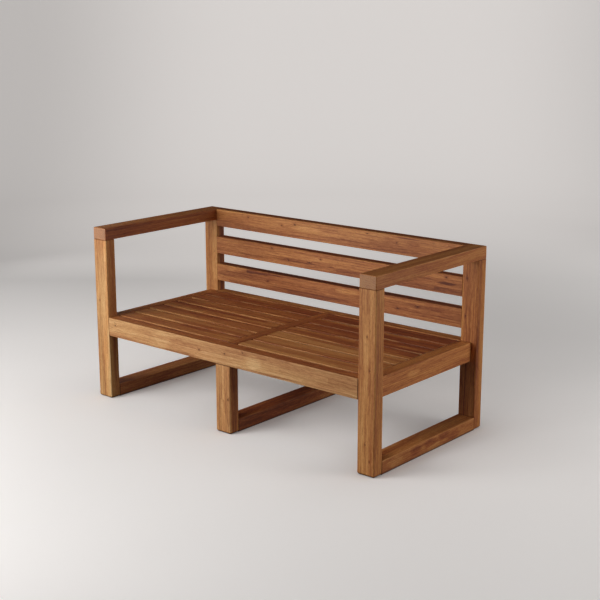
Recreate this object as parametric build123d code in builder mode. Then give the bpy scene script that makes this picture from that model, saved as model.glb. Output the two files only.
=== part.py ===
from build123d import *
from dataclasses import dataclass
from math import atan2, degrees
import os

# Lounge sofa: a slatted wooden frame in mortise and tenon, made to carry two seat cushions.
# Millimetres. The front faces -Y, the right end is +X, and the origin lies on the floor
# under the middle of the frame.

# Overall sizes
overall_width = 1400.0
overall_depth = 675.0
overall_height = 700.0
seat_height = 339.0

# Timber
timber_thickness = 47.0
post_width = 72.0
rail_height = 74.0
runner_height = 50.0
arris_radius = 3.0
arm_corner_radius = 5.0
arm_under_chamfer = 1.5
foot_chamfer = 2.5

# Seat deck: two panels of slats, and the ledger cleats that carry their ends
slat_width = 72.0
least_slat_gap = 8.0
slat_thickness = 18.0
slat_arris_radius = 2.5
slat_end_gap = 3.0
cleat_width = 24.0
cleat_height = 25.0
cleat_chamfer = 4.0
cleat_end_gap = 2.0

# Back, from the top down
back_rail_names = ("top_back_rail", "middle_back_rail", "lower_back_rail")

# Mortise and tenon
tenon_thickness = 16.0
post_tenon_length = 30.0
rail_tenon_length = 44.0
side_tenon_length = 30.0
leg_tenon_length = 24.0
tenon_chamfer = 1.5
fit_clearance = 0.15
glue_space = 2.0

# Tenon sizes and places, as shares of the piece that has the tenon
back_tenon_height_share = 0.7
corner_tenon_height_share = 0.36
corner_tenon_offset_share = 0.22
top_tenon_height_share = 0.66
foot_tenon_height_share = 0.5
foot_tenon_width_share = 0.55
post_tenon_width_share = 0.45
post_tenon_offset_share = 0.1

# Dowels from the top back rail into the arms
dowel_diameter = 8.0
dowel_length = 44.0
dowel_in_arm = 20.0
dowel_chamfer = 1.0
dowel_flutes = 12

# Countersunk screws
screw_diameter = 4.0
screw_head_diameter = 8.0
screw_head_angle = 45
screw_point_diameter = 1.0
screw_point_length = 4.0
screw_sides = 6
slat_screw_length = 36.0
cleat_screw_length = 42.0
screw_clearance = 0.1

# One overrun for every cut
overrun = 1.0

# Places that follow from the sizes above
half_width = overall_width / 2
half_depth = overall_depth / 2
inner_x = half_width - post_width
inner_y = half_depth - timber_thickness
post_x = half_width - post_width / 2
post_y = half_depth - timber_thickness / 2
post_top = overall_height - timber_thickness
seat_rail_bottom = seat_height - rail_height
seat_rail_z = seat_height - rail_height / 2
side_rail_x = inner_x + timber_thickness / 2
back_rail_pitch = (overall_height - seat_height) / len(back_rail_names)
slat_count = int((2 * inner_y - least_slat_gap) // (slat_width + least_slat_gap))
slat_gap = (2 * inner_y - slat_count * slat_width) / (slat_count + 1)
slat_pitch = slat_width + slat_gap
slat_bottom = seat_height - slat_thickness
slat_inner_end = timber_thickness / 2 + slat_end_gap
slat_outer_end = inner_x - slat_end_gap
slat_rows = [(row - (slat_count - 1) / 2) * slat_pitch for row in range(slat_count)]
cleat_bottom = slat_bottom - cleat_height
cleat_middle = slat_bottom - cleat_height / 2

# The cleats' own screws go in below every second gap, counted from both ends
cleat_rows = [
    slat_rows[gap] + slat_pitch / 2
    for gap in range(slat_count - 1)
    if min(gap, slat_count - 2 - gap) % 2 == 0
]

# Directions along X and Y
SIDES = {"left": -1, "right": 1}
ENDS = {"front": -1, "back": 1}

# Each cleat: the face of the rail that it is screwed to, and the way it stands out from it
CLEATS = {
    "left_outer_cleat": (-inner_x, 1),
    "left_inner_cleat": (-timber_thickness / 2, -1),
    "right_inner_cleat": (timber_thickness / 2, 1),
    "right_outer_cleat": (inner_x, -1),
}

os.makedirs("parts", exist_ok=True)


@dataclass(frozen=True)
class Joint:
    """A blind mortise and tenon. The shoulder's normal points along the tenon, into the mortise."""

    shoulder: Plane
    width: float
    height: float
    length: float


def tenon(joint):
    """The tenon of a joint, chamfered round its tip so that it finds the mortise."""
    with BuildPart() as tongue:
        with BuildSketch(joint.shoulder):
            Rectangle(joint.width, joint.height)
        extrude(amount=joint.length)
        along = Axis(joint.shoulder.origin, joint.shoulder.z_dir)
        chamfer(tongue.faces().sort_by(along)[-1].edges(), tenon_chamfer)
    return tongue.part


def mortise(joint):
    """The pocket that takes a joint's tenon, with room for glue beyond the tip."""
    with BuildPart() as pocket:
        with BuildSketch(joint.shoulder.offset(-overrun)):
            Rectangle(joint.width + 2 * fit_clearance, joint.height + 2 * fit_clearance)
        extrude(amount=overrun + joint.length + glue_space)
    return pocket.part


def screw(length):
    """A countersunk screw of few sides that stands on its head, point up."""
    head = screw_head_diameter / 2
    shank = screw_diameter / 2
    point_angle = degrees(atan2(shank - screw_point_diameter / 2, screw_point_length))
    with BuildPart() as fastener:
        with BuildSketch():
            RegularPolygon(head, screw_sides, major_radius=False)
        extrude(amount=head - shank, taper=screw_head_angle)
        with BuildSketch(Plane.XY.offset(head - shank)):
            RegularPolygon(shank, screw_sides, major_radius=False)
        extrude(amount=length - screw_point_length - (head - shank))
        extrude(fastener.faces().sort_by(Axis.Z)[-1], amount=screw_point_length, taper=point_angle)
    return fastener.part


def screw_hole(length):
    """The cutter for a screw's hole and countersink, through every piece that the screw enters."""
    head = screw_head_diameter / 2 + screw_clearance
    shank = screw_diameter / 2 + screw_clearance
    with BuildPart() as cutter:
        with BuildSketch():
            RegularPolygon(head, screw_sides, major_radius=False)
        extrude(amount=-overrun)
        extrude(cutter.faces().sort_by(Axis.Z)[-1], amount=head - shank, taper=screw_head_angle)
        extrude(cutter.faces().sort_by(Axis.Z)[-1], amount=length + overrun - (head - shank))
    return cutter.part


def save(piece, name):
    """Label a finished piece and write it under its name."""
    piece.part.label = name
    export_step(piece.part, f"parts/{name}.step")


def arm_joint(side, end):
    """A post's top in the arm, set outwards so that it clears the dowel of the top back rail."""
    place = (side * (post_x + post_width * post_tenon_offset_share), end * post_y, post_top)
    return Joint(
        Plane(origin=place, x_dir=(1, 0, 0), z_dir=(0, 0, 1)),
        post_width * post_tenon_width_share,
        tenon_thickness,
        post_tenon_length,
    )


def runner_joint(x, end):
    """A floor runner in the foot of a post or of a centre leg."""
    return Joint(
        Plane(origin=(x, end * inner_y, runner_height / 2), x_dir=(1, 0, 0), z_dir=(0, end, 0)),
        post_width * foot_tenon_width_share,
        runner_height * foot_tenon_height_share,
        side_tenon_length,
    )


def cross_joint(x, end):
    """A seat rail that runs from front to back: its tenon passes over that of the long rail."""
    height = seat_rail_z + rail_height * corner_tenon_offset_share
    return Joint(
        Plane(origin=(x, end * inner_y, height), x_dir=(1, 0, 0), z_dir=(0, end, 0)),
        tenon_thickness,
        rail_height * corner_tenon_height_share,
        side_tenon_length,
    )


def long_joint(side, end):
    """A seat rail that runs from side to side: its tenon passes under that of the side rail."""
    height = seat_rail_z - rail_height * corner_tenon_offset_share
    return Joint(
        Plane(origin=(side * inner_x, end * post_y, height), x_dir=(0, 1, 0), z_dir=(side, 0, 0)),
        tenon_thickness,
        rail_height * corner_tenon_height_share,
        rail_tenon_length,
    )


def leg_joint(end):
    """A centre leg in the underside of the front or the back seat rail."""
    return Joint(
        Plane(origin=(0, end * post_y, seat_rail_bottom), x_dir=(1, 0, 0), z_dir=(0, 0, 1)),
        post_width * foot_tenon_width_share,
        tenon_thickness,
        leg_tenon_length,
    )


def back_joint(side, index):
    """A back rail in its post. The top rail meets the post only below the arm."""
    rail_top = overall_height - index * back_rail_pitch
    rail_bottom = rail_top - rail_height
    if index == 0:
        height = (rail_bottom + post_top) / 2
        tall = (post_top - rail_bottom) * top_tenon_height_share
    else:
        height = (rail_bottom + rail_top) / 2
        tall = rail_height * back_tenon_height_share
    return Joint(
        Plane(origin=(side * inner_x, post_y, height), x_dir=(0, 1, 0), z_dir=(side, 0, 0)),
        tenon_thickness,
        tall,
        rail_tenon_length,
    )


def dowel_seat(side):
    """Where a dowel crosses from the top back rail into the arm. The normal points into the arm."""
    place = (side * inner_x, post_y, overall_height - timber_thickness / 2)
    return Plane(origin=place, x_dir=(0, 1, 0), z_dir=(side, 0, 0))


def dowel_hole(side):
    """The cutter for a dowel's hole in the arm and in the rail, with room for glue at both ends."""
    with BuildPart() as cutter:
        with BuildSketch(dowel_seat(side).offset(dowel_in_arm + glue_space)):
            RegularPolygon(dowel_diameter / 2 + fit_clearance, dowel_flutes)
        extrude(amount=-(dowel_length + 2 * glue_space))
    return cutter.part


def slat_screw_seats(cleat_name):
    """Where the slat screws' heads lie in a cleat's underside, the normals up into the slats."""
    face, away = CLEATS[cleat_name]
    x = face + away * (cleat_width + slat_end_gap) / 2
    return [Plane(origin=(x, row, cleat_bottom), z_dir=(0, 0, 1)) for row in slat_rows]


def cleat_screw_seats(cleat_name):
    """Where a cleat's own screws' heads lie in its free face, the normals towards the rail."""
    face, away = CLEATS[cleat_name]
    x = face + away * cleat_width
    return [Plane(origin=(x, row, cleat_middle), z_dir=(-away, 0, 0)) for row in cleat_rows]


# Posts: boards that stand with their broad side to the front
for side_name, side in SIDES.items():
    for end_name, end in ENDS.items():
        with BuildPart() as post:
            with BuildSketch(Plane(origin=(side * post_x, end * post_y, 0))):
                RectangleRounded(post_width, timber_thickness, arris_radius)
            extrude(amount=post_top)
            chamfer(post.faces().sort_by(Axis.Z)[0].edges(), foot_chamfer)
            add(tenon(arm_joint(side, end)))
            add(mortise(runner_joint(side * post_x, end)), mode=Mode.SUBTRACT)
            add(mortise(cross_joint(side * side_rail_x, end)), mode=Mode.SUBTRACT)
            add(mortise(long_joint(side, end)), mode=Mode.SUBTRACT)
            if end_name == "back":
                for index in range(len(back_rail_names)):
                    add(mortise(back_joint(side, index)), mode=Mode.SUBTRACT)
        save(post, f"{side_name}_{end_name}_post")

# Arms: flat boards over the posts from front to back, rounded on top and eased below
for side_name, side in SIDES.items():
    with BuildPart() as arm:
        with BuildSketch(Plane(origin=(side * post_x, 0, post_top))):
            RectangleRounded(post_width, overall_depth, arm_corner_radius)
        extrude(amount=timber_thickness)
        fillet(arm.faces().sort_by(Axis.Z)[-1].edges(), arris_radius)
        chamfer(arm.faces().sort_by(Axis.Z)[0].edges(), arm_under_chamfer)
        for end in ENDS.values():
            add(mortise(arm_joint(side, end)), mode=Mode.SUBTRACT)
        add(dowel_hole(side), mode=Mode.SUBTRACT)
    save(arm, f"{side_name}_arm")

# Floor runners, between the posts of each side and between the centre legs
for name, x in {"left_runner": -post_x, "centre_runner": 0, "right_runner": post_x}.items():
    with BuildPart() as runner:
        start = Plane(origin=(x, -inner_y, runner_height / 2), x_dir=(1, 0, 0), z_dir=(0, 1, 0))
        with BuildSketch(start):
            RectangleRounded(post_width, runner_height, arris_radius)
        extrude(amount=2 * inner_y)
        for end in ENDS.values():
            add(tenon(runner_joint(x, end)))
    save(runner, name)

# Centre legs, under the middle of the front and the back seat rail
for end_name, end in ENDS.items():
    with BuildPart() as leg:
        with BuildSketch(Plane(origin=(0, end * post_y, 0))):
            RectangleRounded(post_width, timber_thickness, arris_radius)
        extrude(amount=seat_rail_bottom)
        chamfer(leg.faces().sort_by(Axis.Z)[0].edges(), foot_chamfer)
        add(tenon(leg_joint(end)))
        add(mortise(runner_joint(0, end)), mode=Mode.SUBTRACT)
    save(leg, f"centre_{end_name}_leg")

# Front and back seat rails, flush with the posts and mortised for the centre rail and legs
for end_name, end in ENDS.items():
    with BuildPart() as rail:
        start = Plane(origin=(-inner_x, end * post_y, seat_rail_z), x_dir=(0, 1, 0), z_dir=(1, 0, 0))
        with BuildSketch(start):
            RectangleRounded(timber_thickness, rail_height, arris_radius)
        extrude(amount=2 * inner_x)
        for side in SIDES.values():
            add(tenon(long_joint(side, end)))
        add(mortise(cross_joint(0, end)), mode=Mode.SUBTRACT)
        add(mortise(leg_joint(end)), mode=Mode.SUBTRACT)
    save(rail, f"{end_name}_seat_rail")

# Side and centre seat rails, drilled for the screws of the cleats on their faces
cross_rails = {
    "left_side_rail": (-side_rail_x, ["left_outer_cleat"]),
    "centre_seat_rail": (0, ["left_inner_cleat", "right_inner_cleat"]),
    "right_side_rail": (side_rail_x, ["right_outer_cleat"]),
}
for name, (x, cleat_names) in cross_rails.items():
    with BuildPart() as rail:
        start = Plane(origin=(x, -inner_y, seat_rail_z), x_dir=(1, 0, 0), z_dir=(0, 1, 0))
        with BuildSketch(start):
            RectangleRounded(timber_thickness, rail_height, arris_radius)
        extrude(amount=2 * inner_y)
        for end in ENDS.values():
            add(tenon(cross_joint(x, end)))
        for cleat_name in cleat_names:
            with Locations(*cleat_screw_seats(cleat_name)):
                add(screw_hole(cleat_screw_length), mode=Mode.SUBTRACT)
    save(rail, name)

# Back rails, between the back posts, with their faces flush with the posts'
for index, name in enumerate(back_rail_names):
    with BuildPart() as rail:
        height = overall_height - index * back_rail_pitch - rail_height / 2
        start = Plane(origin=(-inner_x, post_y, height), x_dir=(0, 1, 0), z_dir=(1, 0, 0))
        with BuildSketch(start):
            RectangleRounded(timber_thickness, rail_height, arris_radius)
        extrude(amount=2 * inner_x)
        for side in SIDES.values():
            add(tenon(back_joint(side, index)))
        if index == 0:
            for side in SIDES.values():
                add(dowel_hole(side), mode=Mode.SUBTRACT)
    save(rail, name)

# Dowels that tie the ends of the top back rail to the arms
with BuildPart() as dowels:
    for side in SIDES.values():
        with BuildSketch(dowel_seat(side).offset(dowel_in_arm)):
            RegularPolygon(dowel_diameter / 2, dowel_flutes)
        extrude(amount=-dowel_length)
    chamfer(dowels.faces().filter_by(Axis.X).edges(), dowel_chamfer)
save(dowels, "arm_dowels")

# Ledger cleats: battens on the rails' inner faces, chamfered along the lower free edge
for name, (face, away) in CLEATS.items():
    with BuildPart() as cleat:
        far = face + away * cleat_width
        start = Plane(origin=(0, -(inner_y - cleat_end_gap), 0), x_dir=(1, 0, 0), z_dir=(0, -1, 0))
        with BuildSketch(start):
            with BuildLine():
                Polyline(
                    (face, slat_bottom),
                    (far, slat_bottom),
                    (far, cleat_bottom + cleat_chamfer),
                    (far - away * cleat_chamfer, cleat_bottom),
                    (face, cleat_bottom),
                    close=True,
                )
            make_face()
        extrude(amount=-2 * (inner_y - cleat_end_gap))
        with Locations(*slat_screw_seats(name)):
            add(screw_hole(slat_screw_length), mode=Mode.SUBTRACT)
        with Locations(*cleat_screw_seats(name)):
            add(screw_hole(cleat_screw_length), mode=Mode.SUBTRACT)
    save(cleat, name)

# Slats, level with the rails, numbered from the front in each panel
for side_name, side in SIDES.items():
    cleat_names = (f"{side_name}_outer_cleat", f"{side_name}_inner_cleat")
    for number, row in enumerate(slat_rows):
        with BuildPart() as slat:
            place = (side * slat_inner_end, row, seat_height - slat_thickness / 2)
            with BuildSketch(Plane(origin=place, x_dir=(0, 1, 0), z_dir=(side, 0, 0))):
                RectangleRounded(slat_width, slat_thickness, slat_arris_radius)
            extrude(amount=slat_outer_end - slat_inner_end)
            with Locations(*[slat_screw_seats(name)[number] for name in cleat_names]):
                add(screw_hole(slat_screw_length), mode=Mode.SUBTRACT)
        save(slat, f"{side_name}_slat_{number + 1}")

# Screws up through the cleats into the slats, and through the cleats into the rails
for side_name in SIDES:
    cleat_names = (f"{side_name}_outer_cleat", f"{side_name}_inner_cleat")
    with BuildPart() as slat_screws:
        for name in cleat_names:
            with Locations(*slat_screw_seats(name)):
                add(screw(slat_screw_length))
    save(slat_screws, f"{side_name}_slat_screws")
    with BuildPart() as cleat_screws:
        for name in cleat_names:
            with Locations(*cleat_screw_seats(name)):
                add(screw(cleat_screw_length))
    save(cleat_screws, f"{side_name}_cleat_screws")
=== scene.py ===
"""Looks of a slatted wooden lounge sofa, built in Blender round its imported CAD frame."""

from __future__ import annotations

import logging
import math
from collections.abc import Callable, Sequence
from dataclasses import dataclass, replace
from enum import Enum

import bpy
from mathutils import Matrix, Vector


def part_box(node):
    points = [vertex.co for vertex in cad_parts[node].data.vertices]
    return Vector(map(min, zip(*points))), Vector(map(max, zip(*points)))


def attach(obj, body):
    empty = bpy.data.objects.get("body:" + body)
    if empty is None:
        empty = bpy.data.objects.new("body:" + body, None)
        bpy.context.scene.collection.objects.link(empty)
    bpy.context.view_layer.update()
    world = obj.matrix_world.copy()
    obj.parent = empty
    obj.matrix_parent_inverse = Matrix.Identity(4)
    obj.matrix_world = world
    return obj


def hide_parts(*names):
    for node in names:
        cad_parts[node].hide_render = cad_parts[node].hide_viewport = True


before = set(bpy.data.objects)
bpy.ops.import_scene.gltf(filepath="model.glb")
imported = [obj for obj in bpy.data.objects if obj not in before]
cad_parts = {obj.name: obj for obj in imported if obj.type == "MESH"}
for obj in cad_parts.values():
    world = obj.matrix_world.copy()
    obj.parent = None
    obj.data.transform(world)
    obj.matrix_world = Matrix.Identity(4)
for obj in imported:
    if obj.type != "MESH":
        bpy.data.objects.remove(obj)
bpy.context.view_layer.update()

log = logging.getLogger("lounge_sofa")

Piece = bpy.types.Object
Material = bpy.types.Material
Seat = tuple[Vector, Vector]
Test = Callable[[Vector, Vector], bool]
Triple = tuple[float, float, float]
Paint = tuple[float, float, float, float]
Stops = Sequence[tuple[float, Paint]]
Levels = tuple[tuple[float, float], ...]
Limits = tuple[float, float]

UP = Vector((0, 0, 1))
ALONG_X = Vector((1, 0, 0))
ALONG_Y = Vector((0, 1, 0))
ORIGIN = Vector((0, 0, 0))
TOUCH = 1e-5
ALIGNED = 0.99
SHORTEST_RUN = 0.02
SMOOTH_ANGLE = math.radians(35)
SIDES = {"left": -1, "right": 1}
ENDS = {"front": -1, "back": 1}


class Run(Enum):
    """The axis of the row frame that a board's grain runs along."""

    X = 0
    Y = 1
    Z = 2


class Element(Enum):
    """What an edit-mode operator is given to work on."""

    EDGE = "EDGE"
    FACE = "FACE"


def put_down() -> None:
    """Leave edit mode."""
    bpy.ops.object.mode_set(mode="OBJECT")


def clear_bench() -> None:
    """Leave edit mode and deselect every object."""
    if bpy.context.object is not None and bpy.context.object.mode != "OBJECT":
        put_down()
    bpy.ops.object.select_all(action="DESELECT")


def hold(piece: Piece) -> None:
    """Make one piece the only selected and the active object."""
    clear_bench()
    piece.select_set(True)
    bpy.context.view_layer.objects.active = piece


def settled() -> Piece:
    """Write the active object's place, turn and size into its mesh."""
    bpy.ops.object.transform_apply(location=True, rotation=True, scale=True)
    return bpy.context.object


def named(piece: Piece, name: str) -> Piece:
    """Give a piece and its mesh one name."""
    piece.name = piece.data.name = name
    return piece


def sawn(name: str, low: Vector, high: Vector) -> Piece:
    """Saw a square block of stock between its lowest and its highest corner."""
    clear_bench()
    bpy.ops.mesh.primitive_cube_add(size=1, location=(low + high) / 2, scale=high - low)
    return named(settled(), name)


def tapered(sides: int, wide: float, narrow: float) -> Piece:
    """Turn a countersunk head that stands on its wide end and narrows at 45 degrees."""
    depth = wide - narrow
    clear_bench()
    bpy.ops.mesh.primitive_cone_add(
        vertices=sides, radius1=wide, radius2=narrow, depth=depth, location=(0, 0, depth / 2)
    )
    return settled()


def pick(piece: Piece, kind: Element, test: Test) -> int:
    """Select the faces or edges that pass a test, and stay in edit mode with them.

    Args:
        piece: The piece to look over.
        kind: Whether its faces or its edges are tested.
        test: Takes a face's centre and its normal, or an edge's two ends.

    Returns:
        How many were picked.
    """
    hold(piece)
    bpy.ops.object.mode_set(mode="EDIT")
    bpy.ops.mesh.select_mode(type=kind.value)
    bpy.ops.mesh.select_all(action="DESELECT")
    put_down()
    points, picked = piece.data.vertices, 0
    for element in piece.data.polygons if kind is Element.FACE else piece.data.edges:
        if kind is Element.FACE:
            element.select = test(element.center, element.normal)
        else:
            element.select = test(*(points[end].co for end in element.vertices))
        picked += element.select
    bpy.ops.object.mode_set(mode="EDIT")
    return picked


def score(piece: Piece, test: Test, place: Vector, way: Vector) -> None:
    """Cut a line into the faces that pass a test, where a plane crosses them."""
    pick(piece, Element.FACE, test)
    bpy.ops.mesh.bisect(plane_co=place, plane_no=way)
    put_down()


def extrude(step: Vector) -> None:
    """Draw what is picked out by a step."""
    bpy.ops.mesh.extrude_region_move(TRANSFORM_OT_translate={"value": step})


def widen(x: float, y: float, about: Vector | None = None) -> None:
    """Widen or narrow what is picked about its middle, or about a given point."""
    pivot = {} if about is None else {"center_override": about}
    bpy.ops.transform.resize(value=(x, y, 1), **pivot)


def ease(piece: Piece, radius: float, steps: int, test: Test) -> None:
    """Round the edges that pass a test, or chamfer them where there is one step."""
    if pick(piece, Element.EDGE, test):
        bpy.ops.mesh.bevel(offset=radius, segments=steps, profile=0.5, affect="EDGES")
    put_down()


def round_foot(leg: Piece, radius: float, steps: int) -> None:
    """Draw a leg's lower end down to the floor in ever narrower steps.

    Args:
        leg: The leg, whose lower end still stands the foot's radius above the floor.
        radius: How far the foot is rounded, all round.
        steps: How many steps the rounding takes.
    """
    width, depth, _ = (side / 2 for side in leg.dimensions)
    pick(leg, Element.FACE, pointing(-UP))
    inset = drop = 0.0
    for step in range(1, steps + 1):
        turn = math.radians(90 * step / steps)
        inner, lower = radius * (1 - math.cos(turn)), radius * math.sin(turn)
        extrude(UP * (drop - lower))
        widen((width - inner) / (width - inset), (depth - inner) / (depth - inset))
        inset, drop = inner, lower
    put_down()


def lengthwise(run: Run) -> Test:
    """The test for edges that lie along a board's run."""

    def test(a: Vector, b: Vector) -> bool:
        step = b - a
        return abs(step[run.value]) > ALIGNED * step.length and step.length > SHORTEST_RUN

    return test


def flush_with(run: Run, *places: float) -> Test:
    """The test for edges that lie in one of the planes at some places along an axis."""
    return lambda *ends: any(all(abs(end[run.value] - place) < TOUCH for end in ends) for place in places)


def both(first: Test, second: Test) -> Test:
    """The test for what passes two other tests."""
    return lambda a, b: first(a, b) and second(a, b)


def pointing(way: Vector) -> Test:
    """The test for faces that point one way."""
    return lambda centre, normal: normal.dot(way) > ALIGNED


@dataclass(frozen=True)
class Joint:
    """A mortise and tenon: a rectangle on a face, and the way that the tenon points."""

    at: Vector
    way: Vector
    across: Vector
    width: float
    height: float
    length: float

    def mark_out(self, piece: Piece) -> None:
        """Cut the joint's rectangle into the flat face that it lies on, and pick it."""
        marks = [(self.way.cross(self.across), self.height), (self.across, self.width)]
        if abs(self.way.z) > ALIGNED:
            marks.reverse()
        limits: list[tuple[Vector, float]] = []

        def inside(centre: Vector, normal: Vector) -> bool:
            offset = centre - self.at
            flat = abs(normal.dot(self.way)) > ALIGNED and abs(offset.dot(self.way)) < TOUCH
            return flat and all(abs(offset.dot(side)) < size / 2 + TOUCH for side, size in limits)

        for side, size in marks:
            for sign in (-1, 1):
                score(piece, inside, self.at + side * sign * size / 2, side)
            limits.append((side, size))
        pick(piece, Element.FACE, inside)

    def add_tenon(self, piece: Piece, chamfer: float) -> None:
        """Draw the tenon out of a board's end and chamfer its tip."""
        self.mark_out(piece)
        extrude(self.way * self.length)
        bpy.ops.mesh.bevel(offset=chamfer, segments=1, affect="EDGES")
        put_down()

    def cut_mortise(self, piece: Piece, glue_space: float) -> None:
        """Sink the pocket for the tenon, with room for adhesive beyond its tip."""
        self.mark_out(piece)
        extrude(self.way * (self.length + glue_space))
        put_down()


def configure(thing: bpy.types.bpy_struct, settings: dict[str, object]) -> None:
    """Set some properties of a node or a modifier."""
    for name, value in settings.items():
        setattr(thing, name, value)


def apply(piece: Piece, kind: str, **settings: object) -> None:
    """Work a modifier into a piece."""
    hold(piece)
    modifier = piece.modifiers.new(kind.lower(), kind)
    configure(modifier, settings)
    bpy.ops.object.modifier_apply(modifier=modifier.name)


def drill(piece: Piece, cutters: list[Piece]) -> None:
    """Take the cutters' shapes out of a piece, and put the cutters away."""
    for cutter in cutters:
        apply(piece, "BOOLEAN", operation="DIFFERENCE", solver="EXACT", object=cutter)
        bpy.data.objects.remove(cutter)


def smooth(piece: Piece) -> None:
    """Shade the rounded edges smooth and keep the flats flat."""
    hold(piece)
    bpy.ops.object.shade_smooth_by_angle(angle=SMOOTH_ANGLE)
    apply(piece, "WEIGHTED_NORMAL", keep_sharp=True)


def present(piece: Piece, slot: str, *nodes: str) -> None:
    """Hand a finished piece over: put it in its body, hide the CAD nodes that it stands for and log its
    slot.
    """
    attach(piece, "root")
    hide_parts(*nodes)
    log.info("%s: %d faces, finish %s", piece.name, len(piece.data.polygons), slot)


def math_step(operation: str, swapped: bool = False) -> Callable[..., Signal]:
    """The operator of a signal that writes one kind of Math node."""

    def method(self: Signal, *others: Value) -> Signal:
        values = (*others, self) if swapped else (self, *others)
        return self.recipe.math(operation, *values)

    return method


class Signal:
    """A shader socket to reckon with: each operator on it writes a Math node."""

    def __init__(self, recipe: Recipe, socket: bpy.types.NodeSocket) -> None:
        """Take up one output of a recipe's tree."""
        self.recipe, self.socket = recipe, socket

    __add__ = math_step("ADD")
    __sub__ = math_step("SUBTRACT")
    __rsub__ = math_step("SUBTRACT", swapped=True)
    __mul__ = math_step("MULTIPLY")
    __truediv__ = math_step("DIVIDE")
    __pow__ = math_step("POWER")
    __abs__ = math_step("ABSOLUTE")

    def clamped(self) -> Signal:
        """Keep the last step's result from 0 to 1."""
        self.socket.node.use_clamp = True
        return self


Value = Signal | float | Sequence[float]


class Recipe:
    """One material's node tree, written a node at a time."""

    def __init__(self, name: str) -> None:
        """Start an empty tree with its output."""
        self.material = bpy.data.materials.new(name)
        self.material.use_nodes = True
        self.tree = self.material.node_tree
        self.tree.nodes.clear()
        self.output = self.tree.nodes.new("ShaderNodeOutputMaterial")

    def node(self, kind: str, inputs: dict[str | int, Value], **settings: object) -> bpy.types.Node:
        """Add one node.

        Args:
            kind: Its type, without the words in front that all shader nodes have.
            inputs: What goes into its sockets: signals to link, or numbers and colours to set.
            settings: Its other properties.

        Returns:
            The node.
        """
        node = self.tree.nodes.new(f"ShaderNode{kind}")
        configure(node, settings)
        for name, value in inputs.items():
            if isinstance(value, Signal):
                self.tree.links.new(value.socket, node.inputs[name])
            else:
                node.inputs[name].default_value = value
        return node

    def read(
        self, kind: str, inputs: dict[str | int, Value], output: str | int = 0, **settings: object
    ) -> Signal:
        """Add one node and take up one of its outputs."""
        return Signal(self, self.node(kind, inputs, **settings).outputs[output])

    def math(self, operation: str, *values: Value) -> Signal:
        """One step of arithmetic on numbers or signals, in the Math node's order."""
        return self.read("Math", dict(enumerate(values)), operation=operation)

    def scaled(self, vector: Value, scale: Sequence[float], shift: Sequence[float]) -> Signal:
        """A vector after a scale and then a shift."""
        return self.read("Mapping", {"Vector": vector, "Scale": scale, "Location": shift})

    def vector(self, *parts: Value) -> Signal:
        """A vector from three numbers or signals."""
        return self.read("CombineXYZ", dict(enumerate(parts)))

    def split(self, vector: Value) -> list[Signal]:
        """The three parts of a vector."""
        return [Signal(self, socket) for socket in self.node("SeparateXYZ", {0: vector}).outputs]

    def length(self, vector: Value) -> Signal:
        """The length of a vector."""
        return self.read("VectorMath", {0: vector}, "Value", operation="LENGTH")

    def distance(self, vector: Value, point: Sequence[float], scale: Triple = (1, 1, 1)) -> Signal:
        """How far a vector lies from a point, with each axis scaled."""
        shift = [-part * size for part, size in zip(point, scale)]
        return self.length(self.scaled(vector, scale, shift))

    def noise(
        self,
        vector: Value,
        scale: Triple,
        shift: Triple = (0, 0, 0),
        detail: float = 2.0,
        rough: float = 0.5,
    ) -> Signal:
        """Soft noise over a vector that is scaled and shifted first."""
        place = self.scaled(vector, scale, shift)
        settings = {"Vector": place, "Scale": 1.0, "Detail": detail, "Roughness": rough}
        return self.read("TexNoise", settings, "Fac")

    def chance(self, vector: Value, output: str) -> Signal:
        """White noise over a vector, as one Value or one Color for each cell."""
        return self.read("TexWhiteNoise", {"Vector": vector}, output, noise_dimensions="3D")

    def rising(self, value: Value, low: float, high: float) -> Signal:
        """A smooth rise from 0 at low to 1 at high."""
        limits = {"Value": value, "From Min": low, "From Max": high}
        return self.read("MapRange", limits, "Result", interpolation_type="SMOOTHSTEP")

    def falling(self, value: Value, low: float, high: float) -> Signal:
        """A smooth fall from 1 at low to 0 at high."""
        return 1.0 - self.rising(value, low, high)

    def ramp(self, value: Value, stops: Stops) -> Signal:
        """A colour ramp through stops of (place, colour)."""
        node = self.node("ValToRGB", {"Fac": value})
        elements = node.color_ramp.elements
        while len(elements) < len(stops):
            elements.new(0.5)
        for element, (place, colour) in zip(elements, stops):
            element.position = place
            element.color = colour
        return Signal(self, node.outputs["Color"])

    def mix(self, amount: Value, a: Value, b: Value) -> Signal:
        """Two colours mixed by an amount."""
        return self.read("Mix", {0: amount, 6: a, 7: b}, 2, data_type="RGBA", clamp_result=True)

    def surface(self, relief: Value, strength: float, depth: float, inputs: dict[str, Value]) -> Material:
        """Close the recipe with a Principled shader.

        Args:
            relief: The height that its bump follows.
            strength: The bump's strength.
            depth: How far the relief stands out, in metres.
            inputs: What goes into the shader's sockets.

        Returns:
            The material.
        """
        bump = {"Strength": strength, "Distance": depth, "Height": relief}
        normal = self.read("Bump", bump, "Normal")
        return self.closed(self.read("BsdfPrincipled", {**inputs, "Normal": normal}, "BSDF"))

    def closed(self, shader: Signal) -> Material:
        """Close the recipe with a shader."""
        self.tree.links.new(shader.socket, self.output.inputs["Surface"])
        return self.material


def srgb(red: int, green: int, blue: int) -> Paint:
    """A colour given as screen values from 0 to 255, in the linear numbers that sockets take."""

    def linear(value: int) -> float:
        share = value / 255
        return share / 12.92 if share <= 0.04045 else ((share + 0.055) / 1.055) ** 2.4

    return linear(red), linear(green), linear(blue), 1.0


def toned(*colours: tuple[int, int, int]) -> Stops:
    """The stops of a timber's ramp, from its screen colours, dark to pale."""
    return tuple(zip((0.0, 0.26, 0.5, 0.74, 1.0), (srgb(*colour) for colour in colours)))


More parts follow.
